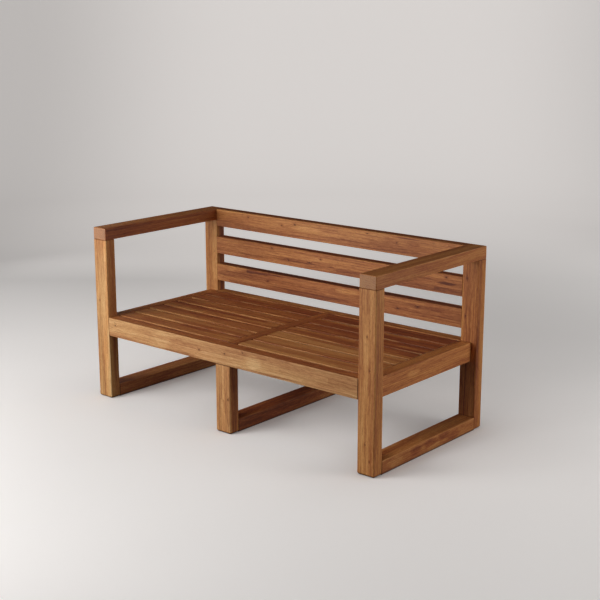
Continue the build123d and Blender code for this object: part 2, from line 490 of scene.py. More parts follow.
@dataclass(frozen=True)
class Knot:
    """A knot: where it shows on a board, in the row frame, and the radius of its heart."""

    place: Triple
    radius: float


@dataclass(frozen=True)
class Streak:
    """A darker or paler streak: its middle, its half length and half width, and its tone. Some are
    painted shade, one a painted sheen.

    Where a finger joint cuts it off, starts is the place along the board at which it begins.
    """

    place: Triple
    reach: float
    width: float
    tone: float
    starts: float | None = None


@dataclass(frozen=True)
class Character:
    """What tells one board's timber from the next."""

    seed: float
    tone: float = 0.0
    contrast: float = 1.0
    block_length: float = 0.38
    block_contrast: float = 1.0
    stave_offset: float = 0.5
    slope: float = 0.0
    red: float = 0.0
    sapwood: float = 0.0
    sap_tone: float = 0.0
    zones: float = 0.3
    wear: float = 0.22
    # Painted shade along the back edge of each slat, in the gap behind it
    gap_shade: float = 0.0
    # Places along the board where a line of painted shade marks its joint with a neighbour
    shoulders: tuple[float, ...] = ()
    ring: float = 0.18
    mottle: float = 0.4
    knots: tuple[Knot, ...] = ()
    streaks: tuple[Streak, ...] = ()


@dataclass(frozen=True)
class TimberFinish:
    """Oiled hardwood, glued up from narrow staves of finger-jointed blocks."""

    slot: str
    stops: Stops = toned((83, 35, 19), (138, 72, 36), (180, 108, 56), (209, 140, 74), (231, 171, 103))
    # Colour of the pores, flecks and knots, and of the painted shade at joints and at the floor
    pore_and_shade: Paint = srgb(72, 33, 15)
    heartwood: Paint = srgb(152, 74, 40)
    sap_stops: Stops = toned(
        (122, 73, 39), (162, 108, 62), (192, 141, 88), (214, 170, 113), (232, 198, 146)
    )
    end_tint: Paint = srgb(174, 137, 106)
    # Colour of the glue lines, and of the painted shade along the slats' back edges
    glue_and_shade: Paint = srgb(83, 40, 19)
    stave_width: float = 0.024
    stave_seam: float = 0.0007
    finger_seam: float = 0.0006
    finger_pitch: float = 0.002
    ring_spacing: float = 0.0072
    drift: float = 0.016
    bow: float = 0.005
    sap_depth: Limits = (0.002, 0.007)
    streak_depth: float = 0.02
    worn_edge: Limits = (0.0004, 0.0032)
    # Width of the painted shade line at each joint
    joint_shade_line: Limits = (0.0006, 0.0032)
    # Height of the painted contact shadow at the floor
    contact_shade_line: Limits = (0.002, 0.010)
    # Width of the painted shade along each slat's back edge
    gap_shade_edge: Limits = (0.001, 0.0045)
    # Width of the painted highlight along each slat's front edge
    highlight_edge: Limits = (0.0025, 0.007)
    roughness: float = 0.52
    gloss: float = 0.3
    bump: float = 0.35
    relief: float = 0.0003

    def material(self, node: str, run: Run, low: Vector, high: Vector, board: Character) -> Material:
        """Write the material of one board.

        Args:
            node: The CAD node that the board stands for.
            run: The axis that the grain follows.
            low: The board's lowest corner.
            high: Its highest corner.
            board: What its timber is like.

        Returns:
            The material, whose pattern is solid through the board.
        """
        r = Recipe(f"{node}_timber")
        seed = board.seed
        half, middle = (high - low) / 2, (high + low) / 2
        others = sorted({0, 1, 2} - {run.value}, key=lambda axis: -half[axis])
        order = [run.value, *others]
        sizes = [half[axis] for axis in order]
        parts = r.split(r.scaled(r.read("TexCoord", {}, "Object"), (1, 1, 1), -middle))
        u, v, w = (parts[axis] for axis in order)
        place = r.vector(u, v, w)

        def local(point: Triple) -> list[float]:
            """A point of the row frame, on the board's own axes."""
            return [(Vector(point) - middle)[axis] for axis in order]

        # Staves across the board, blocks along it with finger joints between them
        stave_v = v * (1 / self.stave_width) + board.stave_offset
        stave_w = w * (1 / self.stave_width) + 0.5
        stave = r.math("FLOOR", stave_w) * 7.0 + r.math("FLOOR", stave_v)
        fingers = r.math("PINGPONG", w, self.finger_pitch) * 5.0
        along = (u + fingers) * (1 / board.block_length) + seed
        blocks = along + r.chance(r.vector(stave, seed, 0.3), "Value") * 3.0
        block = r.vector(stave, r.math("FLOOR", blocks), seed + 0.7)
        hue, shade, lean = r.split(r.chance(block, "Color"))

        # The grain wanders a little, and bows round each knot
        drift = r.noise(place, (1.7, 9, 9), (seed, 0, 2), 1.0) * self.drift - self.drift / 2
        hearts: Value = 0.0
        halos: Value = 0.0
        for knot in board.knots:
            away = r.distance(place, local(knot.place), (0.6, 1, 1))
            heart = r.falling(away, 0.35 * knot.radius, 1.1 * knot.radius)
            halo = r.falling(away, 0.6 * knot.radius, 3.2 * knot.radius)
            hearts, halos = r.math("MAXIMUM", hearts, heart), r.math("MAXIMUM", halos, halo)
        v_grain = v + drift + halos * self.bow
        w_grain = w + drift
        grain = r.vector(u, v_grain, w_grain)

        # Growth rings about a pith line of each block's own
        tilt = shade * 0.03 - 0.015
        from_pith = r.vector(
            u * tilt, v_grain - (hue * 0.10 - 0.05), w_grain - (lean * 0.07 + 0.012)
        )
        ring = r.math("FRACT", r.length(from_pith) / self.ring_spacing) ** 3.5

        def figure(
            along: float, across: float, shift: Triple, detail: float = 2.0, rough: float = 0.5
        ) -> Signal:
            """Noise that is drawn out along the grain."""
            return r.noise(grain, (along, across, across), shift, detail, rough)

        broad = figure(1.3, 36, (seed * 3, seed, 0))
        middling = figure(4.5, 140, (seed * 5, 0, seed), rough=0.6)
        fine = figure(18, 380, (0, seed * 7, seed), 3.0, 0.6)
        mottle = figure(48, 210, (seed, seed, 7), rough=0.6)
        pores = r.rising(figure(90, 2400, (seed, 1, 0), 1.0), 0.60, 0.72)
        flecks = r.rising(figure(55, 330, (2, seed, 0), 1.0), 0.68, 0.76)

        # The tone, from dark to pale
        tone = broad * (0.9 * board.contrast) + (0.5 - 0.45 * board.contrast)
        for part, size in (
            (mottle, board.mottle),
            (middling, 0.75 * board.contrast),
            (fine, 0.7),
            (shade, 0.34 * board.block_contrast),
        ):
            tone += part * size - size / 2
        tone += ring * -board.ring + 0.22 * board.ring
        tone -= halos * 0.12
        tone += v * (board.slope / sizes[1])
        ragged = middling * 0.8 - 0.4
        # Grain streaks, and on some boards painted shade or a painted sheen on one face
        for streak in board.streaks:
            scale = (1 / streak.reach, 1 / streak.width, 1 / self.streak_depth)
            reach = r.distance(place, local(streak.place), scale)
            change = r.falling(reach + ragged, 0.5, 1.0) * streak.tone
            if streak.starts is not None:
                change *= r.math("GREATER_THAN", u, streak.starts - middle[run.value])
            tone += change

        # The colour: heartwood, paler sapwood towards the front, and dark marks
        colour = r.ramp((tone + board.tone).clamped(), self.stops)
        red = r.rising(hue, 0.45, 1.0) * (0.30 * board.block_contrast) + board.red
        colour = r.mix(red, colour, self.heartwood)
        if board.sapwood:
            pale = r.ramp((tone + board.sap_tone).clamped(), self.sap_stops)
            outer = r.falling(w + sizes[2] + drift * 0.3, *self.sap_depth) * board.sapwood
            zones = r.rising(figure(3.2, 26, (seed, 5, 3), 1.0), 0.36, 0.60)
            colour = r.mix(outer * (zones * board.zones + (1 - board.zones)), colour, pale)
        for marks, depth in ((pores, 0.45), (flecks, 0.40), (hearts, 0.82)):
            colour = r.mix(marks * depth, colour, self.pore_and_shade)

        # Glue lines between staves and at the finger joints
        def seam(cells: Signal, width: float) -> Signal:
            """A line at the border of each cell, its width given in cells."""
            return r.rising(abs(r.math("FRACT", cells) - 0.5), 0.5 - width, 0.5)

        stave_line = seam(stave_v, self.stave_seam / self.stave_width)
        finger_line = seam(blocks, self.finger_seam / board.block_length)
        seams = r.math("MAXIMUM", stave_line, finger_line) * (0.5 * board.block_contrast)
        colour = r.mix(seams.clamped(), colour, self.glue_and_shade)

        # End grain drinks more oil, and the arrises are worn paler
        facing = r.split(r.read("TexCoord", {}, "Normal"))[run.value]
        end = r.rising(abs(facing), 0.75, 0.95)
        end_colour = r.mix(ring * 0.5 + 0.1, self.end_tint, colour)
        colour = r.mix(end * 0.75, colour, end_colour)
        gap_u, gap_v, gap_w = (size - abs(part) for size, part in zip(sizes, (u, v, w)))
        nearest, other = r.math("MINIMUM", gap_v, gap_w), r.math("MAXIMUM", gap_v, gap_w)
        to_edge = r.math("MAXIMUM", nearest, r.math("MINIMUM", other, gap_u))
        rub = r.rising(figure(14, 60, (seed, 4, 1)), 0.35, 0.70)
        worn = r.falling(to_edge, *self.worn_edge) * rub
        palest_and_highlight = self.stops[-1][1]
        colour = r.mix(worn * board.wear, colour, palest_and_highlight)

        # Painted shade: dark lines where the board meets its neighbours, and a painted contact shadow at
        # the floor
        lines: Value = 0.0
        for shoulder in board.shoulders:
            away = abs(u - (shoulder - middle[run.value]))
            lines = r.math("MAXIMUM", lines, r.falling(away, *self.joint_shade_line))
        contact_shade = r.falling(parts[2] + middle.z, *self.contact_shade_line)
        colour = r.mix(r.math("MAXIMUM", contact_shade * 0.9, lines * 0.7), colour, self.pore_and_shade)

        # Slats: painted shade and duller gloss along the back edge, a painted highlight along the front
        # arris
        gloss: Value = self.gloss
        if board.gap_shade:
            dull = r.rising(figure(6, 40, (seed, 9, 2)), 0.36, 0.58)
            gap_shade = dull * r.falling(sizes[1] - v, *self.gap_shade_edge) * board.gap_shade
            colour = r.mix(gap_shade, colour, self.glue_and_shade)
            # Painted highlight along the front arris of each slat, where the light catches it
            front_highlight = r.rising(figure(7, 30, (seed, 2, 8)), 0.47, 0.62)
            front_highlight = front_highlight * r.falling(v + sizes[1], *self.highlight_edge) * 0.28
            colour = r.mix(front_highlight, colour, palest_and_highlight)
            gloss = (gap_shade * -self.gloss + self.gloss).clamped()

        rough = middling * 0.16 + (self.roughness - 0.08) + pores * 0.18 - worn * 0.08 + end * 0.12
        height = fine * 0.6 - pores * 0.8 - seams * 0.8 + ring * 0.25
        shader = {"Base Color": colour, "Roughness": rough.clamped(), "Specular IOR Level": gloss}
        return r.surface(height, self.bump, self.relief, shader)

    def dress(self, piece: Piece, node: str, run: Run, board: Character) -> None:
        """Give a piece this finish, with its pattern centred on the CAD node it stands for."""
        piece.data.materials.clear()
        piece.data.materials.append(self.material(node, run, *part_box(node), board))


@dataclass(frozen=True)
class ScrewFinish:
    """Zinc-plated steel with fine turning marks and a little dulling."""

    slot: str = "screw_steel"
    bright: Paint = srgb(196, 196, 192)
    dull: Paint = srgb(138, 136, 130)
    roughness: float = 0.34
    bump: float = 0.2
    relief: float = 0.0001

    def material(self, node: str) -> Material:
        """Write the material of one set of screws."""
        r = Recipe(f"{node}_zinc")
        place = r.read("TexCoord", {}, "Object")
        cloud = r.noise(place, (220, 220, 220), detail=3.0)
        marks = r.noise(place, (900, 900, 4000), detail=1.0)
        colour = r.ramp(cloud, ((0.35, self.dull), (0.65, self.bright)))
        rough = cloud * 0.25 + (self.roughness - 0.1)
        shader = {"Base Color": colour, "Metallic": 1.0, "Roughness": rough}
        return r.surface(marks, self.bump, self.relief, shader)


@dataclass(frozen=True)
class FramePlan:
    """Sizes of the frame and of its joints, in metres, and the places that follow from them."""

    width: float = 1.4
    depth: float = 0.675
    height: float = 0.7
    seat: float = 0.339
    timber: float = 0.047
    post_width: float = 0.072
    rail_height: float = 0.074
    runner_height: float = 0.05
    back_rails: int = 3
    arris: float = 0.003
    arris_steps: int = 4
    post_arris: float = 0.0045
    foot_round: float = 0.009
    foot_steps: int = 5
    shoulder_chamfer: float = 0.0016
    tenon: float = 0.016
    tenon_chamfer: float = 0.0015
    glue_space: float = 0.002
    clearance: float = 0.00015
    post_tenon: float = 0.030
    rail_tenon: float = 0.044
    side_tenon: float = 0.030
    leg_tenon: float = 0.024

    @property
    def inner_x(self) -> float:
        """Where the posts' inner faces stand, from the middle."""
        return self.width / 2 - self.post_width

    @property
    def inner_y(self) -> float:
        """Where the posts' inward sides stand, from the middle."""
        return self.depth / 2 - self.timber

    @property
    def post_x(self) -> float:
        """The posts' middles from side to side."""
        return self.width / 2 - self.post_width / 2

    @property
    def post_y(self) -> float:
        """The posts' middles from front to back."""
        return self.depth / 2 - self.timber / 2

    @property
    def post_top(self) -> float:
        """The height at which the arms lie on the posts."""
        return self.height - self.timber

    @property
    def rail_bottom(self) -> float:
        """The underside of the seat rails."""
        return self.seat - self.rail_height

    @property
    def side_rail_x(self) -> float:
        """The side rails' middles, flush with the posts' inner faces."""
        return self.inner_x + self.timber / 2

    def rail_tongue(self, up: int) -> tuple[float, float]:
        """The height of the upper or lower of two seat rail tenons in a post, and its size."""
        middle = self.seat - self.rail_height / 2
        return middle + up * 0.22 * self.rail_height, 0.36 * self.rail_height

    def arm_joint(self, side: int, end: int) -> Joint:
        """A post's top in its arm."""
        at = Vector((side * (self.post_x + 0.1 * self.post_width), end * self.post_y, self.post_top))
        return Joint(at, UP, ALONG_X, 0.45 * self.post_width, self.tenon, self.post_tenon)

    def runner_joint(self, x: float, end: int) -> Joint:
        """A floor runner in the foot of a post or of a centre leg."""
        at = Vector((x, end * self.inner_y, self.runner_height / 2))
        width, height = 0.55 * self.post_width, 0.5 * self.runner_height
        return Joint(at, ALONG_Y * end, ALONG_X, width, height, self.side_tenon)

    def cross_joint(self, x: float, end: int) -> Joint:
        """A seat rail from front to back, whose tenon passes over the long rail's."""
        z, height = self.rail_tongue(1)
        at = Vector((x, end * self.inner_y, z))
        return Joint(at, ALONG_Y * end, ALONG_X, self.tenon, height, self.side_tenon)

    def long_joint(self, side: int, end: int) -> Joint:
        """The front or back seat rail in a post, under the side rail's tenon."""
        z, height = self.rail_tongue(-1)
        at = Vector((side * self.inner_x, end * self.post_y, z))
        return Joint(at, ALONG_X * side, ALONG_Y, self.tenon, height, self.rail_tenon)

    def leg_joint(self, end: int) -> Joint:
        """A centre leg in the underside of the front or back seat rail."""
        at = Vector((0, end * self.post_y, self.rail_bottom))
        return Joint(at, UP, ALONG_X, 0.55 * self.post_width, self.tenon, self.leg_tenon)

    def back_joint(self, side: int, index: int) -> Joint:
        """A back rail in its post, counted from the top, where the tenon stays below the arm."""
        top = self.height - index * (self.height - self.seat) / self.back_rails
        bottom = top - self.rail_height
        height, middle = 0.7 * self.rail_height, (top + bottom) / 2
        if index == 0:
            height, middle = 0.66 * (self.post_top - bottom), (self.post_top + bottom) / 2
        at = Vector((side * self.inner_x, self.post_y, middle))
        return Joint(at, ALONG_X * side, ALONG_Y, self.tenon, height, self.rail_tenon)

    def mortise(self, piece: Piece, *joints: Joint) -> None:
        """Cut the joints' mortises, a little wider than their tenons."""
        room = 2 * self.clearance
        for joint in joints:
            wider = replace(joint, width=joint.width + room, height=joint.height + room)
            wider.cut_mortise(piece, self.glue_space)

    def tenoned(self, node: str, run: Run, reach: float, joints: Sequence[Joint]) -> Piece:
        """Shape a rail or runner.

        Args:
            node: The CAD node that it stands for.
            run: The axis that it lies along.
            reach: How far its tenons reach out of each end.
            joints: The joints that its tenons belong to.

        Returns:
            The board, with eased arrises and its tenons.
        """
        board = board_between(node, run, reach)
        ease(board, self.arris, self.arris_steps, lengthwise(run))
        for joint in joints:
            joint.add_tenon(board, self.tenon_chamfer)
        return board

    def upright(self, node: str, top: float) -> Piece:
        """Shape a post or leg up to its shoulder, with eased arrises and a rounded foot."""
        low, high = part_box(node)
        low.z += self.foot_round
        high.z = top
        leg = sawn(f"{node}_timber", low, high)
        ease(leg, self.post_arris, self.arris_steps, lengthwise(Run.Z))
        round_foot(leg, self.foot_round, self.foot_steps)
        return leg


PLAN = FramePlan()


def board_between(node: str, run: Run, shoulders: float = 0.0) -> Piece:
    """Saw the square board that stands for a CAD node, without the tenons at its ends."""
    low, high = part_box(node)
    low[run.value] += shoulders
    high[run.value] -= shoulders
    return sawn(f"{node}_timber", low, high)


FRONT = -PLAN.depth / 2
BACK = PLAN.inner_y
SIDE = PLAN.width / 2
BACK_MIDDLE = 0.314
UNDER_ARM = (PLAN.post_top,)
ENDS_X = (-PLAN.inner_x, PLAN.inner_x)
ENDS_Y = (-PLAN.inner_y, PLAN.inner_y)

BOARDS = {
    "left_front_post": Character(
        1.3, 0.10, block_contrast=0.5, slope=0.10, sapwood=1.0, sap_tone=0.02, zones=0.6,
        shoulders=UNDER_ARM,
        knots=(Knot((-0.676, FRONT, 0.405), 0.003),),
        streaks=(Streak((-0.634, FRONT, 0.34), 0.45, 0.014, 0.14),),
    ),
    "left_back_post": Character(
        2.1, 0.17, 0.9, block_contrast=0.3, sapwood=0.4, shoulders=UNDER_ARM,
        # Painted shadow on the inner face, where the back rails shade it
        streaks=(Streak((-0.627, 0.322, 0.50), 0.45, 0.007, -0.40),),
    ),
    "right_front_post": Character(
        3.7, 0.16, 0.7, block_contrast=0.3, sapwood=0.35, ring=0.22, shoulders=UNDER_ARM,
        knots=(
            Knot((0.664, FRONT, 0.491), 0.003),
            Knot((0.678, FRONT, 0.376), 0.0025),
            Knot((0.662, FRONT, 0.113), 0.003),
            Knot((0.680, FRONT, 0.056), 0.0025),
        ),
        streaks=(
            Streak((0.664, FRONT, 0.47), 0.12, 0.014, 0.12),
            Streak((SIDE, -0.314, 0.20), 0.45, 0.030, -0.12),
        ),
    ),
    "right_back_post": Character(
        4.9, 0.0, 0.8, block_contrast=0.35, shoulders=UNDER_ARM,
        knots=(Knot((0.648, BACK, 0.579), 0.003), Knot((0.648, BACK, 0.436), 0.003)),
        streaks=(
            Streak((SIDE, 0.320, 0.40), 0.50, 0.014, 0.18),
            # Painted shadow of the side rail on the outer face, beside the rail's end
            Streak((SIDE, 0.296, 0.30), 0.12, 0.010, -0.14),
        ),
    ),
    "left_arm": Character(
        5.3, -0.10, 0.9, block_contrast=0.3, red=0.25,
        # Painted sheen: the top of the arm is painted paler
        streaks=(Streak((-0.664, 0.0, 0.705), 0.60, 0.060, 0.18),),
    ),
    "right_arm": Character(6.1, 0.15, 0.9, block_contrast=0.3, red=0.32),
    "left_runner": Character(
        7.7, 0.01, 1.3, block_contrast=0.5, red=0.35, mottle=0.8, shoulders=ENDS_Y,
        streaks=(
            Streak((-0.628, -0.275, 0.025), 0.045, 0.03, 0.16),
            Streak((-0.655, 0.08, 0.055), 0.26, 0.040, 0.26),
        ),
    ),
    "right_runner": Character(
        8.5, 0.07, block_contrast=0.4, red=0.28, mottle=0.7, shoulders=ENDS_Y,
        streaks=(
            Streak((SIDE, 0.003, 0.034), 0.060, 0.0022, -0.34),
            Streak((SIDE, 0.085, 0.042), 0.050, 0.0020, -0.30),
            Streak((SIDE, -0.090, 0.029), 0.045, 0.0020, -0.30),
            Streak((SIDE, 0.150, 0.020), 0.060, 0.0024, -0.26),
            Streak((SIDE, -0.215, 0.026), 0.060, 0.0060, 0.22),
            Streak((SIDE, 0.020, 0.015), 0.050, 0.0050, 0.18),
        ),
    ),
    "front_seat_rail": Character(
        11.2, -0.11, 0.8, 0.46, 0.3, 0.35, red=0.3, sapwood=0.74, sap_tone=0.12, shoulders=ENDS_X,
        knots=(
            Knot((-0.589, FRONT, 0.314), 0.0035),
            Knot((-0.120, FRONT, 0.301), 0.0035),
            Knot((0.012, FRONT, 0.310), 0.004),
            Knot((0.102, FRONT, 0.330), 0.003),
        ),
        streaks=(
            Streak((-0.32, FRONT, 0.305), 0.06, 0.034, 0.16),
            Streak((0.154, FRONT, 0.305), 0.05, 0.034, 0.18),
            Streak((-0.20, FRONT, 0.272), 0.16, 0.006, -0.30),
            Streak((0.25, FRONT, 0.273), 0.14, 0.006, -0.26),
        ),
    ),
    "back_seat_rail": Character(12.6, 0.0, 1.0, 0.42, 0.5),
    "left_side_rail": Character(13.4, -0.03, 0.9, block_contrast=0.3),
    "right_side_rail": Character(
        14.9, 0.08, 0.6, block_contrast=0.3, red=0.18, shoulders=ENDS_Y,
        streaks=(Streak((0.675, -0.08, 0.308), 0.05, 0.012, 0.25),),
    ),
    "centre_seat_rail": Character(15.5, -0.04, block_contrast=0.3, red=0.2, shoulders=ENDS_Y),
    "centre_front_leg": Character(
        16.1, -0.02, block_contrast=0.3, sapwood=0.6, sap_tone=0.10, shoulders=(PLAN.rail_bottom,),
        knots=(Knot((0.026, FRONT, 0.135), 0.004),),
        streaks=(Streak((0.036, -0.300, 0.13), 0.20, 0.020, -0.20),),
    ),
    "centre_back_leg": Character(17.8, 0.0, 0.9, block_contrast=0.3),
    "centre_runner": Character(
        18.3, -0.14, 1.5, block_contrast=0.5, red=0.3, mottle=0.9, shoulders=ENDS_Y,
        # Painted shade: the runner's top under the seat is painted darker
        streaks=(Streak((0.0, 0.0, 0.055), 0.40, 0.050, -0.16),),
    ),
    "top_back_rail": Character(
        21.7, 0.03, 0.66, 0.52, 0.2, 0.35, slope=0.07, red=0.10, sapwood=0.22,
        knots=(
            Knot((-0.442, BACK, 0.683), 0.003),
            Knot((-0.254, BACK, 0.671), 0.003),
            Knot((-0.183, BACK, 0.682), 0.005),
            Knot((0.187, BACK, 0.690), 0.003),
            Knot((0.329, BACK, 0.671), 0.003),
        ),
        streaks=(
            Streak((-0.12, BACK, 0.672), 0.10, 0.012, 0.22),
            Streak((0.36, BACK, 0.692), 0.09, 0.004, -0.35),
            Streak((0.52, BACK, 0.672), 0.10, 0.014, 0.15),
            # Painted shade along the top of the rail
            Streak((0.0, BACK_MIDDLE, 0.701), 1.2, 0.005, -0.35),
            Streak((0.45, BACK, 0.665), 0.40, 0.040, -0.05),
        ),
    ),
    "middle_back_rail": Character(
        22.3, -0.01, 0.72, 0.47, 0.3, 0.6, slope=0.04, red=0.12, sapwood=0.16,
        knots=(
            Knot((-0.309, BACK, 0.569), 0.0035),
            Knot((-0.217, BACK, 0.528), 0.003),
            Knot((-0.046, BACK, 0.555), 0.0035),
            Knot((-0.105, BACK, 0.535), 0.0035),
            Knot((0.558, BACK, 0.569), 0.004),
        ),
        streaks=(
            Streak((0.566, BACK, 0.545), 0.05, 0.006, -0.40),
            Streak((-0.18, BACK, 0.531), 0.13, 0.008, -0.22),
            Streak((-0.41, BACK, 0.522), 0.10, 0.006, -0.28),
            # Painted shade along the top of the rail
            Streak((0.0, BACK_MIDDLE, 0.581), 1.2, 0.005, -0.35),
            Streak((0.25, BACK, 0.548), 0.30, 0.030, -0.04),
        ),
    ),
    "lower_back_rail": Character(
        23.9, -0.035, 0.72, 0.40, 0.5, 0.45, red=0.12, sapwood=0.16,
        knots=(
            Knot((-0.333, BACK, 0.424), 0.0035),
            Knot((0.339, BACK, 0.415), 0.004),
            Knot((0.432, BACK, 0.435), 0.004),
        ),
        streaks=(
            Streak((-0.42, BACK, 0.452), 0.17, 0.010, -0.42, -0.455),
            Streak((0.09, BACK, 0.441), 0.08, 0.016, 0.24, 0.03),
            Streak((-0.12, BACK, 0.399), 0.28, 0.014, -0.24),
            Streak((-0.53, BACK, 0.445), 0.07, 0.012, 0.14),
            # Painted shade along the top of the rail
            Streak((0.0, BACK_MIDDLE, 0.460), 1.2, 0.005, -0.35),
            Streak((0.35, BACK, 0.425), 0.40, 0.030, -0.05),
        ),
    ),
}


def deliver(piece: Piece, run: Run, finish: TimberFinish, board: Character | None = None) -> None:
    """Smooth, dress and hand over one board that stands for the CAD node in its name.

    Args:
        piece: The board.
        run: The axis that its grain runs along.
        finish: Its finish.
        board: What its timber is like, where BOARDS doesn't say it.
    """
    node = piece.name.removesuffix("_timber")
    smooth(piece)
    finish.dress(piece, node, run, board or BOARDS[node])
    present(piece, finish.slot, node)


@dataclass(frozen=True)
class DowelPlan:
    """Sizes of the two dowels that hold the top back rail to the arms."""

    radius: float = 0.004
    clearance: float = 0.00015
    in_arm: float = 0.020
    in_rail: float = 0.024
    chamfer: float = 0.001
    flutes: int = 12
    flute_depth: float = 0.07

    def cutter(self, plan: FramePlan, side: int) -> Piece:
        """A round cutter for one dowel's hole in the rail and the arm."""
        clear_bench()
        middle = side * (plan.inner_x + (self.in_arm - self.in_rail) / 2)
        bpy.ops.mesh.primitive_cylinder_add(
            vertices=2 * self.flutes,
            radius=self.radius + self.clearance,
            depth=self.in_arm + self.in_rail + 2 * plan.glue_space,
            location=(middle, plan.post_y, plan.height - plan.timber / 2),
            rotation=(0, math.pi / 2, 0),
        )
        return bpy.context.object


DOWELS = DowelPlan()


@dataclass(frozen=True)
class ScrewPlan:
    """Sizes of the countersunk screws, and where they go."""

    shank: float = 0.002
    head: float = 0.004
    tip: float = 0.0005
    point: float = 0.004
    clearance: float = 0.0001
    slat_length: float = 0.036
    cleat_length: float = 0.042
    off_middle: float = 0.0015
    cutter_sides: int = 20
    overrun: float = 0.001
    slats: int = 7

    def away(self, cleat: str) -> int:
        """The way along X that a cleat stands out from its rail."""
        return 1 if cleat in ("left_outer_cleat", "right_inner_cleat") else -1

    def rows(self) -> list[float]:
        """The slats' middles from front to back."""
        boxes = [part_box(f"left_slat_{number}") for number in range(1, self.slats + 1)]
        return [(low.y + high.y) / 2 for low, high in boxes]

    def slat_seats(self, cleat: str) -> list[Seat]:
        """Where the slats' screws sit in a cleat's underside, each with its way."""
        low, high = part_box(cleat)
        x = (low.x + high.x) / 2 + self.away(cleat) * self.off_middle
        return [(Vector((x, row, low.z)), UP) for row in self.rows()]

    def cleat_seats(self, cleat: str) -> list[Seat]:
        """Where a cleat's own screws sit in its free face, each with its way."""
        low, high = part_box(cleat)
        away, rows = self.away(cleat), self.rows()
        face = high.x if away > 0 else low.x
        height = (low.z + high.z) / 2
        gaps = [(a + b) / 2 for a, b in zip(rows, rows[1:])]
        kept = [gap for place, gap in enumerate(gaps) if min(place, len(gaps) - 1 - place) % 2 == 0]
        return [(Vector((face, gap, height)), -ALONG_X * away) for gap in kept]

    def bores(self, seats: list[Seat], length: float) -> Piece:
        """A cutter for the countersunk holes at some seats, all in one."""
        wide, narrow = self.head + self.clearance, self.shank + self.clearance
        cutter = tapered(self.cutter_sides, wide, narrow)
        for way, step in ((UP, length - (wide - narrow)), (-UP, self.overrun)):
            pick(cutter, Element.FACE, pointing(way))
            extrude(way * step)
            put_down()
        return placed_copies(cutter, "bore", seats)


SCREWS = ScrewPlan()
CLEATS = ("left_outer_cleat", "left_inner_cleat", "right_inner_cleat", "right_outer_cleat")


def placed_copies(pattern: Piece, name: str, seats: list[Seat]) -> Piece:
    """Copy a pattern that points up to every seat, and join the copies.

    Args:
        pattern: The piece to copy, at the origin. It is put away afterwards.
        name: The joined piece's name.
        seats: A place and a way for each copy.

    Returns:
        The joined copies, with their places in the mesh.
    """
    copies = []
    for place, way in seats:
        hold(pattern)
        bpy.ops.object.duplicate()
        copy = bpy.context.object
        copy.location = place
        copy.rotation_euler = UP.rotation_difference(way).to_euler()
        copies.append(settled())
    hold(copies[0])
    for copy in copies:
        copy.select_set(True)
    bpy.ops.object.join()
    bpy.data.objects.remove(pattern)
    return named(bpy.context.object, name)


@dataclass
class Joinery:
    """What the sub-assemblies of frame boards share: their sizes and their finish."""

    plan: FramePlan = PLAN
    finish: TimberFinish = TimberFinish("frame_wood")


@dataclass
class SideFrames(Joinery):
    """The four posts, the arms on them and the runners between their feet."""

    arm_corner: float = 0.005
    arm_underside: float = 0.0015

    def post(self, side_name: str, end_name: str) -> Piece:
        """Shape one post, with its tenon for the arm and its mortises."""
        side, end = SIDES[side_name], ENDS[end_name]
        plan = self.plan
        post = plan.upright(f"{side_name}_{end_name}_post", plan.post_top)
        ease(post, plan.shoulder_chamfer, 1, flush_with(Run.Z, plan.post_top))
        plan.arm_joint(side, end).add_tenon(post, plan.tenon_chamfer)
        runner = plan.runner_joint(side * plan.post_x, end)
        side_rail = plan.cross_joint(side * plan.side_rail_x, end)
        plan.mortise(post, runner, side_rail, plan.long_joint(side, end))
        if end_name == "back":
            plan.mortise(post, *(plan.back_joint(side, index) for index in range(plan.back_rails)))
        return post

    def arm(self, side_name: str) -> Piece:
        """Shape one arm, rounded on top, mortised for its posts and drilled for the back's dowel."""
        side, plan = SIDES[side_name], self.plan
        arm = board_between(f"{side_name}_arm", Run.Y)
        ease(arm, self.arm_corner, plan.arris_steps, lengthwise(Run.Z))
        ease(arm, plan.arris, plan.arris_steps, flush_with(Run.Z, plan.height))
        ease(arm, self.arm_underside, 1, flush_with(Run.Z, plan.post_top))
        plan.mortise(arm, *(plan.arm_joint(side, end) for end in ENDS.values()))
        drill(arm, [DOWELS.cutter(plan, side)])
        return arm

    def build(self) -> None:
        """Make, dress and hand over every piece of both side frames."""
        plan = self.plan
        for side_name, side in SIDES.items():
            for end_name in ENDS:
                deliver(self.post(side_name, end_name), Run.Z, self.finish)
            deliver(self.arm(side_name), Run.Y, self.finish)
            joints = [plan.runner_joint(side * plan.post_x, end) for end in ENDS.values()]
            runner = plan.tenoned(f"{side_name}_runner", Run.Y, plan.side_tenon, joints)
            deliver(runner, Run.Y, self.finish)


